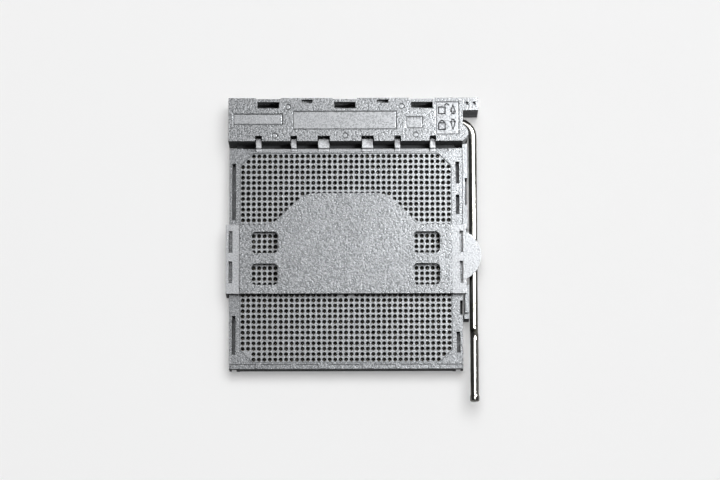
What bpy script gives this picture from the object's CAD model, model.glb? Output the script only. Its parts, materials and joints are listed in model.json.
import json
import math
import random

import bmesh
import bpy
from mathutils import Matrix, Vector


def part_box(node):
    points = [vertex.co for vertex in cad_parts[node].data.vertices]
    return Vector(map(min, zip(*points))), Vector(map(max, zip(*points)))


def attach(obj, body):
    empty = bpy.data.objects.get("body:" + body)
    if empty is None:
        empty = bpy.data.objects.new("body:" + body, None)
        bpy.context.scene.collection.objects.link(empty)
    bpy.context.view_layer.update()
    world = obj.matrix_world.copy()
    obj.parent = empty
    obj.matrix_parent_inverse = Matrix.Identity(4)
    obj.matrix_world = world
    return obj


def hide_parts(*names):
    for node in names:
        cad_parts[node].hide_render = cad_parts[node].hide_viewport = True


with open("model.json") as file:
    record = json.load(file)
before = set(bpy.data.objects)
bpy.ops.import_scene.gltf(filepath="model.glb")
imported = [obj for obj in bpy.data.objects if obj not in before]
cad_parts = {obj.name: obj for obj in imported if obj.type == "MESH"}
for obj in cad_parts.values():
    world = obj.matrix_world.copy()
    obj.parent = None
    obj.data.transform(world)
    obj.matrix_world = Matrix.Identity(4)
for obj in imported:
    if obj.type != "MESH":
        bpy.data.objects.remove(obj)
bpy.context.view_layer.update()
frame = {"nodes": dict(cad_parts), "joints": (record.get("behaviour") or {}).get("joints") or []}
mm = 0.001  # sizes below are written in millimetres
headLow, headHigh = (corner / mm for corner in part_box("head_cover"))
joints = {joint["name"]: joint for joint in frame["joints"]}
print("frame loaded:", len(frame["nodes"]), "nodes")


class Wire:  # one socket, so that shader maths reads as plain expressions
    def __init__(self, shader, socket):
        self.shader = shader
        self.socket = socket

    def math(self, operation, *others):
        return self.shader.node("Math", {"operation": operation}, dict(enumerate((self,) + others)))

    def __add__(self, other):
        return self.math("ADD", other)

    def __mul__(self, other):
        return self.math("MULTIPLY", other)

    def __sub__(self, other):
        return self.math("SUBTRACT", other)

    def __rsub__(self, other):
        return self.shader.node("Math", {"operation": "SUBTRACT"}, {0: other, 1: self})

    def __lt__(self, other):
        return self.math("LESS_THAN", other)

    def __gt__(self, other):
        return self.math("GREATER_THAN", other)

    def __abs__(self):
        return self.math("ABSOLUTE")

    __radd__ = __add__
    __rmul__ = __mul__


class Shader:  # one material and its node tree
    def __init__(self, name):
        self.material = bpy.data.materials.new(name)
        self.material.use_nodes = True
        self.tree = self.material.node_tree
        self.tree.nodes.clear()
        self.place = self.node("TexCoord", output="Object")
        self.east, self.north, self.up = self.parts(self.place)

    def node(self, kind, settings=None, inputs=None, output=0):
        made = self.tree.nodes.new("ShaderNode" + kind)
        for key, value in (settings or {}).items():
            setattr(made, key, value)
        for key, value in (inputs or {}).items():
            if isinstance(value, Wire):
                self.tree.links.new(value.socket, made.inputs[key])
            else:
                made.inputs[key].default_value = value
        return Wire(self, made.outputs[output] if made.outputs else None)

    def parts(self, vector):  # the three numbers of a vector
        split = self.node("SeparateXYZ", None, {0: vector}).socket.node
        return [Wire(self, output) for output in split.outputs]

    def stretched(self, scale):  # object coordinates, scaled along each axis
        return self.node("VectorMath", {"operation": "MULTIPLY"}, {0: self.place, 1: scale})

    def noise(self, size, detail, place=None):  # size is the width of one grain, in metres
        return self.node("TexNoise", None, {
            "Vector": place or self.place, "Scale": 1 / size, "Detail": detail})

    def ramp(self, value, low, high):  # a smooth step from 0 at low to 1 at high
        return self.node("MapRange", {"interpolation_type": "SMOOTHSTEP"}, {
            "Value": value, "From Min": low, "From Max": high})

    def blend(self, mask, first, second):  # a colour Mix has its colour sockets at 6 and 7
        first, second = (c if isinstance(c, Wire) else tuple(c) + (1,) for c in (first, second))
        return self.node("Mix", {"data_type": "RGBA"}, {0: mask, 6: first, 7: second}, output=2)

    def nearest(self, distances):
        best = distances[0]
        for other in distances[1:]:
            best = best.math("MINIMUM", other)
        return best

    def surface(self, sockets):
        shaded = self.node("BsdfPrincipled", None, sockets)
        self.node("OutputMaterial", None, {"Surface": shaded})
        return self.material


def reach(east, north):  # length of a plan vector
    return (east * east + north * north).math("SQRT")


def toBlock(east, north, low, high):  # distance in metres outside a plan rectangle, negative inside
    sides = [abs(axis - (a + b) / 2 * mm) - (b - a) / 2 * mm
             for axis, a, b in zip((east, north), low, high)]
    return sides[0].math("MAXIMUM", sides[1])


def toDisc(east, north, x, y, radius):
    return reach(east - x * mm, north - y * mm) - radius * mm


# The pin grid, 1 mm apart: pins to each side, the empty middle's half, and other places without a pin
grid = {"half": 19, "empty": 6, "besideEmpty": ((7, 1), (1, 7)), "keyCorner": (-18, -18)}

# What all the mouldings share: edges of the masks, then shares of height, colour and roughness
moulding = {
    "grainEdges": (0.41, 0.59), "grainDetail": 3.0,
    "fleckEdges": (0.55, 0.68), "fleckDetail": 1.0, "fleckSize": 0.6, "fleckHeight": 0.35,
    "patchEdges": (0.36, 0.64), "patchDetail": 4.0, "patchHeight": 0.4,
    "wallEdges": (0.3, 0.75), "wallRough": 0.5,
    "lineCore": 0.3, "lineShare": 0.9, "lineRough": 0.25, "plateFade": 0.05, "plateGloss": 0.08,
    "rimCore": 0.03, "rimRough": 0.3, "ringFade": 0.04,
    "shadeFade": 0.04, "shadeTone": (0.004, 0.004, 0.004), "shadeRough": 0.6,
    "tint": (0.92, 0.96, 1.0, 1.0), "bevelSamples": 4,
}


# The cover's sunken field: a mask of its floor, and one of its eight-sided edge and the holes' mouths
def pinField(shader, look):
    half, chamfer = look["field"]
    across, along = abs(shader.east), abs(shader.north)
    corner = (across + along - (2 * half - chamfer) * mm) * math.sqrt(0.5)
    beyond = (across - half * mm).math("MAXIMUM", along - half * mm).math("MAXIMUM", corner)
    edge = 1 - shader.ramp(abs(beyond), moulding["rimCore"] * mm, look["rim"] * mm)
    floor = beyond < 0
    pins = [axis * (1 / mm) for axis in (shader.east, shader.north)]
    offCentre = reach(*(pin - pin.math("ROUND") for pin in pins))
    mouth = 1 - shader.ramp(offCentre, look["ring"] - moulding["ringFade"], look["ring"])
    unholed = [toBlock(across, along, (a - 0.5, b - 0.5), (a + 0.5, b + 0.5)) for a, b in grid["besideEmpty"]]
    x, y = grid["keyCorner"]
    unholed.append(toBlock(shader.east, shader.north, (x - 0.5, y - 0.5), (x + 0.5, y + 0.5)))
    beside = across.math("MAXIMUM", along) > (grid["empty"] + 0.5) * mm
    return floor, edge.math("MAXIMUM", mouth * beside * floor * (shader.nearest(unholed) > 0))


# Polished areas of the mould: a mask of them, and one of the fine sunken line around each
def polishedAreas(shader, look):
    areas = [toBlock(shader.east, shader.north, *plate) for plate in look["plates"]]
    areas += [toDisc(shader.east, shader.north, *disc) for disc in look.get("discs", [])]
    outside = shader.nearest(areas)
    line = 1 - shader.ramp(abs(outside), look["line"] * moulding["lineCore"] * mm, look["line"] * mm)
    return 1 - shader.ramp(outside, -moulding["plateFade"] * mm, 0.0), line


# Moulded glass-filled plastic: fine grain, light flecks of fibre, patches of duller skin
def mouldedPlastic(name, look):
    shader = Shader(name)
    grain = shader.ramp(shader.noise(look["grain"] * mm, moulding["grainDetail"]), *moulding["grainEdges"])
    fleck = shader.noise(look["grain"] * moulding["fleckSize"] * mm, moulding["fleckDetail"])
    flecks = shader.ramp(fleck, *moulding["fleckEdges"])
    dull = shader.ramp(shader.noise(look["patch"] * mm, moulding["patchDetail"]), *moulding["patchEdges"])
    rough = look["roughness"] + (grain - 0.5) * look["roughSpread"] + dull * look["dullness"]
    tone = shader.blend(grain, look["dark"], look["light"])
    tone = shader.blend(flecks * look["fleckShare"], tone, look["fleck"])
    height = grain + flecks * moulding["fleckHeight"] + dull * grain * moulding["patchHeight"]
    if "field" in look:
        floor, rim = pinField(shader, look)
        tone = shader.blend(floor * look["fieldLift"], tone, look["fleck"])
        tone = shader.blend(rim * moulding["lineShare"], tone, look["dark"])
        rough = rough + rim * moulding["rimRough"]
    if "plates" in look:
        inside, line = polishedAreas(shader, look)
        tone = shader.blend(inside * look["lift"], tone, look["fleck"])
        tone = shader.blend(line * moulding["lineShare"], tone, look["dark"])
        height = height * (1 - inside * look["polish"]) - line * look["lineDepth"]
        rough = rough - inside * moulding["plateGloss"] + line * moulding["lineRough"]
    facing = shader.parts(shader.node("TexCoord", output="Normal"))[2]
    level = shader.ramp(facing, *moulding["wallEdges"])
    tone = shader.blend(level, look["dark"], tone)  # the walls carry no grain
    rough = rough + (1 - level) * moulding["wallRough"]
    if "shades" in look:  # deep corners that stay dull
        outside = shader.nearest([toBlock(shader.east, shader.north, *shade) for shade in look["shades"]])
        deep = 1 - shader.ramp(outside, -moulding["shadeFade"] * mm, 0.0)
        tone = shader.blend(deep, tone, moulding["shadeTone"])
        rough = rough + deep * moulding["shadeRough"]
    edge = shader.node("Bevel", {"samples": moulding["bevelSamples"]}, {"Radius": look["edge"] * mm})
    bump = shader.node("Bump", None, {
        "Height": height, "Strength": look["relief"], "Distance": look["depth"] * mm, "Normal": edge})
    return shader.surface({
        "Base Color": tone, "Roughness": rough, "Specular IOR Level": look["specular"],
        "Specular Tint": moulding["tint"], "Normal": bump})


# What all the metals share: the drawn lines, the dull patches and the contacts' tarnish
working = {
    "lineDetail": 2.0, "lineRough": 0.08, "patchDetail": 3.0, "patchEdges": (0.42, 0.68), "patchRough": 0.06,
    "tarnish": (0.035, 0.03, 0.022), "tarnishFade": 0.02,
}


# Drawn or rolled metal: fine lines along the metal, slight dulling in patches
def workedMetal(name, look):
    shader = Shader(name)
    lines = shader.noise(look["line"] * mm, working["lineDetail"], shader.stretched(look["along"]))
    dull = shader.ramp(shader.noise(look["patch"] * mm, working["patchDetail"]), *working["patchEdges"])
    bump = shader.node("Bump", None, {
        "Height": lines, "Strength": look["relief"], "Distance": look["depth"] * mm})
    tone = shader.blend(dull, look["bright"], look["dull"])
    if "cleanAbove" in look:  # the contacts are tarnished below their tips
        clean = look["cleanAbove"]
        tip = shader.ramp(shader.up, (clean - working["tarnishFade"]) * mm, clean * mm)
        tone = shader.blend(tip, working["tarnish"], tone)
    return shader.surface({
        "Base Color": tone,
        "Metallic": 1.0,
        "Specular Tint": tuple(look.get("edge", (1, 1, 1))) + (1,),
        "Roughness": look["roughness"] + lines * working["lineRough"] + dull * working["patchRough"],
        "Normal": bump,
    })


# Places in plan: a plate, step or shade is its two corners, a disc its middle and radius
labelPlates = [
    ((-20.7, 24.5), (-11.7, 26.45)), ((-9.7, 23.6), (9.35, 26.95)),
    ((11.25, 23.8), (14.2, 25.9)), ((16.7, 22.6), (20.9, 28.7)),
]
ejectorMarks = [
    (x, y, 0.48) for x, y in ((-13.1, 22.4), (-10.65, 27.8), (-0.1, 22.4), (10.3, 27.9), (12.9, 22.5))]
rearSteps = [
    ((a, 19.85), (b, 20.6)) for a, b in ((-15.5, -10.1), (-9.0, -5.1), (-3.0, 3.0), (5.1, 9.0), (10.1, 15.5))]
capFlanges = [((19.6, -9), (25.5, 9)), ((-23, -9), (-19.6, 9))]
latchShade = ((20.9, -10.75), (21.6, -8.1))
headGap = ((-21, 20.3), (21, 21.4))

plasticLooks = {
    "base": {
        "dark": (0.016, 0.016, 0.017), "light": (0.08, 0.08, 0.083), "fleck": (0.16, 0.16, 0.165),
        "fleckShare": 0.5, "grain": 0.30, "patch": 2.5, "roughness": 0.46, "roughSpread": 0.25,
        "dullness": 0.08, "relief": 1.0, "depth": 0.02, "edge": 0.06, "specular": 0.6,
        "shades": [latchShade, headGap],
    },
    "cover": {
        "dark": (0.012, 0.012, 0.013), "light": (0.13, 0.13, 0.134), "fleck": (0.30, 0.30, 0.308),
        "fleckShare": 1.0, "grain": 0.30, "patch": 3.5, "roughness": 0.40, "roughSpread": 0.34,
        "dullness": 0.10, "relief": 1.0, "depth": 0.016, "edge": 0.05, "specular": 0.5,
        "plates": rearSteps, "line": 0.09, "lineDepth": 1.6, "polish": 0.3, "lift": 0.75,
        "field": (19.5, 2.3), "fieldLift": 0.45, "rim": 0.13, "ring": 0.43, "shades": [latchShade],
    },
    "head": {
        "dark": (0.004, 0.004, 0.004), "light": (0.19, 0.19, 0.195), "fleck": (0.36, 0.36, 0.37),
        "fleckShare": 1.0, "grain": 0.33, "patch": 3.0, "roughness": 0.40, "roughSpread": 0.38,
        "dullness": 0.12, "relief": 1.0, "depth": 0.022, "edge": 0.07, "specular": 0.5,
        "plates": labelPlates, "discs": ejectorMarks,
        "line": 0.17, "lineDepth": 2.0, "polish": 0.8, "lift": 0.4,
    },
    "cap": {
        "dark": (0.003, 0.003, 0.003), "light": (0.17, 0.17, 0.175), "fleck": (0.36, 0.36, 0.37),
        "fleckShare": 1.0, "grain": 0.34, "patch": 7.0, "roughness": 0.41, "roughSpread": 0.40,
        "dullness": 0.06, "relief": 1.0, "depth": 0.025, "edge": 0.09, "specular": 0.5,
        "plates": capFlanges, "line": 0.06, "lineDepth": 0.3, "polish": 0.7, "lift": 0.6,
    },
    "tab": {
        "dark": (0.30, 0.30, 0.31), "light": (0.44, 0.44, 0.45), "fleck": (0.55, 0.55, 0.56),
        "fleckShare": 0.5, "grain": 0.3, "patch": 3.0, "roughness": 0.34, "roughSpread": 0.15,
        "dullness": 0.05, "relief": 0.6, "depth": 0.02, "edge": 0.04, "specular": 0.6,
    },
    "mark": {
        "dark": (0.006, 0.006, 0.006), "light": (0.02, 0.02, 0.02), "fleck": (0.03, 0.03, 0.03),
        "fleckShare": 0.3, "grain": 0.2, "patch": 2.0, "roughness": 1.0, "roughSpread": 0.0,
        "dullness": 0.0, "relief": 0.5, "depth": 0.01, "edge": 0.02, "specular": 0.1,
    },
}
metalLooks = {
    "wire": {
        "bright": (0.18, 0.176, 0.165), "dull": (0.11, 0.107, 0.098), "line": 0.12, "along": (1, 0.08, 1),
        "patch": 2.5, "roughness": 0.09, "relief": 0.2, "depth": 0.004, "edge": (0.25, 0.24, 0.22),
    },
    "steel": {
        "bright": (0.62, 0.62, 0.63), "dull": (0.47, 0.47, 0.48), "line": 0.1, "along": (0.05, 1, 1),
        "patch": 3.0, "roughness": 0.24, "relief": 0.3, "depth": 0.005,
    },
    "contact": {
        "bright": (0.95, 0.90, 0.76), "dull": (0.22, 0.19, 0.13), "line": 0.08, "along": (1, 1, 0.2),
        "patch": 0.8, "roughness": 0.20, "relief": 0.3, "depth": 0.004, "cleanAbove": 2.80,
    },
    "blade": {
        "bright": (0.06, 0.05, 0.035), "dull": (0.03, 0.026, 0.018), "line": 0.08, "along": (1, 1, 0.2),
        "patch": 0.8, "roughness": 0.4, "relief": 0.3, "depth": 0.004,
    },
    "solder": {
        "bright": (0.80, 0.80, 0.82), "dull": (0.60, 0.60, 0.62), "line": 0.12, "along": (1, 1, 1),
        "patch": 0.5, "roughness": 0.28, "relief": 0.4, "depth": 0.006,
    },
}
finishes = {key: mouldedPlastic("plastic_" + key, look) for key, look in plasticLooks.items()}
finishes.update({key: workedMetal("metal_" + key, look) for key, look in metalLooks.items()})
nodeFinishes = {
    "base_housing": "base", "cover_plate": "cover", "head_cover": "head", "pick_cap": "cap",
    "lever": "wire", "cam_channel": "steel", "wear_plate": "steel",
}
for name, node in frame["nodes"].items():
    key = nodeFinishes.get(name) or ("blade" if name.startswith("contact_row") else "solder")
    node.data.materials.clear()
    node.data.materials.append(finishes[key])
print("materials made:", len(finishes))


def meshPiece(name, body, material, build):  # build fills a bmesh, in millimetres
    grown = bmesh.new()
    build(grown)
    bmesh.ops.scale(grown, vec=(mm, mm, mm), verts=grown.verts)
    bmesh.ops.recalc_face_normals(grown, faces=grown.faces)
    mesh = bpy.data.meshes.new(name)
    grown.to_mesh(mesh)
    grown.free()
    mesh.materials.append(material)
    piece = bpy.data.objects.new(name, mesh)
    bpy.context.scene.collection.objects.link(piece)
    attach(piece, body)
    return piece


# The lever, one wire swept along its own line; the cut end is pressed slightly wider than the wire
lever = {
    "radius": 0.75, "journal": 19.2, "crankHalf": 10.65, "slant": 1.4, "slantReach": 0.25,
    "armX": 23.5, "cornerReach": 2.8, "riseFromPivot": 38.5, "riseBend": 1.5, "riseCosine": 0.28,
    "end": ((1.25, 0.75), (1.1, 0.78), (0.95, 0.84), (0.25, 0.84), (0.1, 0.80), (0.0, 0.66)),
    "sides": 28, "turn": math.radians(7),
}


def bentLine(points, reaches, turn):  # each corner becomes an arc that starts its reach before it
    line = [points[0]]
    for i in range(1, len(points) - 1):
        corner = points[i]
        inward = (points[i - 1] - corner).normalized()
        outward = (points[i + 1] - corner).normalized()
        angle = math.pi - inward.angle(outward)
        radius = reaches[i - 1] / math.tan(angle / 2)
        middle = corner + (inward + outward).normalized() * (radius / math.cos(angle / 2))
        start = corner + inward * reaches[i - 1]
        axis = inward.cross(outward)
        steps = max(3, math.ceil(angle / turn))
        for k in range(steps + 1):
            spin = Matrix.Rotation(-angle * k / steps, 3, axis)
            line.append(middle + spin @ (start - middle))
    line.append(points[-1])
    return line


def sweep(grown, line, radii, sides):  # a round bar of changing radius along a line
    angles = [2 * math.pi * k / sides for k in range(sides)]
    rings = []
    ahead = (line[1] - line[0]).normalized()
    across = ahead.orthogonal().normalized()
    for i, point in enumerate(line):
        before = (point - line[i - 1]).normalized() if i else ahead
        after = (line[i + 1] - point).normalized() if i + 1 < len(line) else before
        along = (before + after).normalized()
        across = (across - along * across.dot(along)).normalized()
        up = along.cross(across)
        rings.append([
            grown.verts.new(point + radii[i] * (math.cos(a) * across + math.sin(a) * up)) for a in angles])
    for first, second in zip(rings, rings[1:]):
        for k in range(sides):
            face = grown.faces.new((first[k], first[(k + 1) % sides], second[(k + 1) % sides], second[k]))
            face.smooth = True
    grown.faces.new(rings[0])
    grown.faces.new(list(reversed(rings[-1])))


def buildLever(grown):
    p = lever
    pivotY, pivotZ = (place / mm for place in joints["lever_lift"]["pos_m"][1:])
    crank = joints["cover_slide"]["range_m"][1] / mm / 2  # off the axis by half of the cover's travel
    slantEnd = p["crankHalf"] + p["slant"]
    riseReach = math.tan(math.acos(p["riseCosine"]) / 2) * p["riseBend"]
    lean = Vector((0, -p["riseCosine"], math.sqrt(1 - p["riseCosine"] ** 2)))
    rise = Vector((p["armX"], pivotY - p["riseFromPivot"] - riseReach, pivotZ))
    top = rise + lean * 2 * riseReach
    corners = [
        Vector((-p["journal"], pivotY, pivotZ)),
        Vector((-slantEnd, pivotY, pivotZ)),
        Vector((-p["crankHalf"], pivotY - crank, pivotZ + crank)),
        Vector((p["crankHalf"], pivotY - crank, pivotZ + crank)),
        Vector((slantEnd, pivotY, pivotZ)),
        Vector((p["armX"], pivotY, pivotZ)),
        rise,
        top,
        Vector((p["armX"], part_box("lever")[0].y / mm, top.z)),
    ]
    reaches = [p["slantReach"]] * 4 + [p["cornerReach"]] + [riseReach * 0.999] * 2
    line = bentLine(corners, reaches, p["turn"])
    end = line.pop()
    radii = [p["radius"]] * len(line)
    for back, radius in p["end"]:
        line.append(end + Vector((0, back, 0)))
        radii.append(radius)
    sweep(grown, line, radii, p["sides"])


wire = meshPiece("lever_wire", "lever", finishes["wire"], buildLever)
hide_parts("lever")
print("lever made:", len(wire.data.polygons), "faces")

# Raised outlines on the head's right plate: an open and a shut padlock, and an arrow beside each
marks = {
    "width": 0.2, "low": 0.12, "high": 0.03,  # low and high are measured down from the head's top
    "padlocks": ((26.45, "open"), (23.45, "shut")), "bodyX": (17.2, 18.4), "bodyHeight": 1.25,
    "shackle": {"radius": 0.42, "open": (0.92, 0.2, 175, 10), "shut": (0, 0.07, 0, 180)},
    "arrows": ((26.9, 28.05), (24.95, 23.45)), "arrowX": 19.85,  # each arrow's widest line and its point
    "barb": 0.42, "stem": 0.2, "stemLength": 0.45, "sharpest": 0.4,
}


def band(grown, points, closed, width, low, high):  # a flat-topped line with square corners
    count = len(points)
    sides = []
    for i, point in enumerate(points):
        before = point - points[i - 1] if closed or i else points[1] - point
        after = points[(i + 1) % count] - point if closed or i + 1 < count else before
        normal = (before.normalized() + after.normalized()).normalized()
        normal = Vector((-normal.y, normal.x))
        straight = Vector((-before.normalized().y, before.normalized().x))
        out = width / 2 / max(marks["sharpest"], normal.dot(straight))
        sides.append((point + normal * out, point - normal * out))
    verts = [[grown.verts.new((q.x, q.y, z)) for q in pair for z in (low, high)] for pair in sides]
    for i in range(count if closed else count - 1):
        a, b = verts[i], verts[(i + 1) % count]
        for m, n in ((0, 1), (1, 3), (3, 2), (2, 0)):
            grown.faces.new((a[m], a[n], b[n], b[m]))
    if not closed:
        for a in (verts[0], verts[-1]):
            grown.faces.new((a[0], a[1], a[3], a[2]))


def arc(x, y, radius, start, end, steps=8):
    angles = [math.radians(start + (end - start) * k / steps) for k in range(steps + 1)]
    return [Vector((x + radius * math.cos(a), y + radius * math.sin(a))) for a in angles]


def buildMarks(grown):
    line = (marks["width"], headHigh.z - marks["low"], headHigh.z - marks["high"])
    left, right = marks["bodyX"]
    for y, state in marks["padlocks"]:
        top = y + marks["bodyHeight"]
        band(grown, [Vector(q) for q in ((left, y), (right, y), (right, top), (left, top))], True, *line)
        aside, above, start, end = marks["shackle"][state]
        bow = arc((left + right) / 2 + aside, top + above, marks["shackle"]["radius"], start, end)
        band(grown, bow, False, *line)
    for base, tip in marks["arrows"]:
        x, barb, stem = marks["arrowX"], marks["barb"], marks["stem"]
        foot = base - math.copysign(marks["stemLength"], tip - base)
        arrow = [(x, tip), (x + barb, base), (x + stem, base), (x + stem, foot),
                 (x - stem, foot), (x - stem, base), (x - barb, base)]
        band(grown, [Vector(q) for q in arrow], True, *line)


signs = meshPiece("head_marks", "base", finishes["mark"], buildMarks)
print("marks made:", len(signs.data.polygons), "faces")

# Flat tops of the cover's six tabs, where they enter the head; each has a lower step before it
tabs = {
    "places": ((-16.1, 0.95), (-9.6, 0.95), (-4.05, 2.0), (4.05, 2.0), (9.6, 0.95), (16.1, 0.95)),
    "low": 4.2, "blocks": ((-0.93, 0.77, 5.22), (-1.47, -0.75, 4.52)),  # ends from the head's front, and top
    "wider": 0.02, "edge": 0.06,
}


def buildTabs(grown):
    for x, width in tabs["places"]:
        for front, rear, top in tabs["blocks"]:
            made = bmesh.ops.create_cube(grown, size=1.0)["verts"]
            middle = (x, headLow.y + (front + rear) / 2, (tabs["low"] + top) / 2)
            bmesh.ops.scale(grown, vec=(width + tabs["wider"], rear - front, top - tabs["low"]), verts=made)
            bmesh.ops.translate(grown, verts=made, vec=middle)
            edges = {edge for vert in made for edge in vert.link_edges}
            bmesh.ops.bevel(grown, geom=list(edges), offset=tabs["edge"], segments=2, affect="EDGES")


tabTops = meshPiece("cover_tab_tops", "cover", finishes["tab"], buildTabs)
print("tabs made:", len(tabTops.data.polygons), "faces")

# The contacts' second beams, each with a small rounded tip that shows in its hole
beams = {
    "width": 0.17, "low": 0.85, "high": 2.87, "foot": (0.14, 0.20),  # the foot's two ends from the pin
    "tip": ((0.27, -0.25), (0.285, -0.06), (0.25, 0.0), (0.18, -0.02), (0.19, -0.25)),
    "seed": 5, "strayX": 0.07, "strayY": 0.06,
}


def pinPlaces():  # the same places as the part's grid
    half = grid["half"]
    for y in range(-half, half + 1):
        for x in range(-half, half + 1):
            a, b = abs(x), abs(y)
            middle = max(a, b) <= grid["empty"] or (a, b) in grid["besideEmpty"]
            corner = a + b > 2 * half - 2 or (x, y) == grid["keyCorner"]
            if not middle and not corner:
                yield x, y


def buildBeams(grown):
    chance = random.Random(beams["seed"])
    for pinX, pinY in pinPlaces():
        x = pinX + chance.uniform(-1, 1) * beams["strayX"]
        y = pinY + chance.uniform(-1, 1) * beams["strayY"]
        line = [(pinY + off, beams["low"]) for off in beams["foot"]]
        line += [(y + off, beams["high"] + down) for off, down in beams["tip"]]
        left, right = (
            [grown.verts.new((x + side * beams["width"] / 2, a, b)) for a, b in line] for side in (-1, 1))
        for k in range(len(line)):
            after = (k + 1) % len(line)
            grown.faces.new((left[k], left[after], right[after], right[k]))
        grown.faces.new(left)
        grown.faces.new(list(reversed(right)))


springs = meshPiece("contact_beams", "base", finishes["contact"], buildBeams)
print("contact beams made:", len(springs.data.polygons), "faces")

# Floor and lights, in metres
studio = {
    "floor": (0.66, 0.66, 0.66), "glow": 0.26, "halfFloor": 3, "mottle": 0.985, "mottleSize": 0.05,
    "world": (0.12, 0.12, 0.12), "aim": (0, 0, 0.004),
    "softbox": {"place": (0.10, 0.20, 0.98), "size": 0.60, "power": 9.6},
    "glare": {"place": (0.062, 0.034, 0.07), "size": 0.05, "power": 1.2},
}
# The camera, its aim in millimetres and its distance in metres
view = {
    "aim": (2.61, 3.25, 4.45), "distance": 0.7009, "elevation": 80.0, "roll": -0.15,
    "lens": 190.0, "sensor": 36.0, "nearest": 0.01, "farthest": 20.0,
}


def buildFloor():
    half = studio["halfFloor"]
    corners = [(-half, -half, 0), (half, -half, 0), (half, half, 0), (-half, half, 0)]
    mesh = bpy.data.meshes.new("floor")
    mesh.from_pydata(corners, [], [(0, 1, 2, 3)])
    floor = bpy.data.objects.new("floor", mesh)
    bpy.context.scene.collection.objects.link(floor)
    paper = Shader("pale_paper")
    duller = [c * studio["mottle"] for c in studio["floor"]]
    mottled = paper.blend(paper.noise(studio["mottleSize"], 2.0), studio["floor"], duller)
    mesh.materials.append(paper.surface({
        "Base Color": mottled, "Roughness": 1.0, "Specular IOR Level": 0.0,
        "Emission Color": (1.0, 1.0, 1.0, 1.0), "Emission Strength": studio["glow"]}))
    return floor


def panel(name, look):  # a square light that faces the part
    light = bpy.data.lights.new(name, "AREA")
    light.shape = "SQUARE"
    light.size = look["size"]
    light.energy = look["power"]
    lamp = bpy.data.objects.new(name, light)
    lamp.location = look["place"]
    lamp.rotation_mode = "QUATERNION"
    lamp.rotation_quaternion = (lamp.location - Vector(studio["aim"])).to_track_quat("Z", "Y")
    bpy.context.scene.collection.objects.link(lamp)
    return lamp


def setCamera():
    data = bpy.data.cameras.new("camera")
    data.lens = view["lens"]
    data.sensor_width = view["sensor"]
    data.clip_start = view["nearest"]
    data.clip_end = view["farthest"]
    camera = bpy.data.objects.new("camera", data)
    tilt = math.radians(view["elevation"])
    back = Vector((0, -math.cos(tilt), math.sin(tilt)))
    camera.location = Vector(view["aim"]) * mm + back * view["distance"]
    turned = Matrix.Rotation(math.radians(view["roll"]), 3, "Z")
    camera.rotation_mode = "QUATERNION"
    camera.rotation_quaternion = ((-back).to_track_quat("-Z", "Y").to_matrix() @ turned).to_quaternion()
    bpy.context.scene.collection.objects.link(camera)
    return camera


buildFloor()
panel("softbox", studio["softbox"])
glare = panel("glare", studio["glare"])
glare.visible_diffuse = False
glare.visible_camera = False

world = bpy.data.worlds.new("studio")
world.use_nodes = True
world.node_tree.nodes["Background"].inputs["Color"].default_value = studio["world"] + (1,)
scene = bpy.context.scene
scene.world = world
scene.view_settings.view_transform = "Standard"
scene.view_settings.look = "None"
bpy.context.scene.camera = setCamera()
print("studio set")
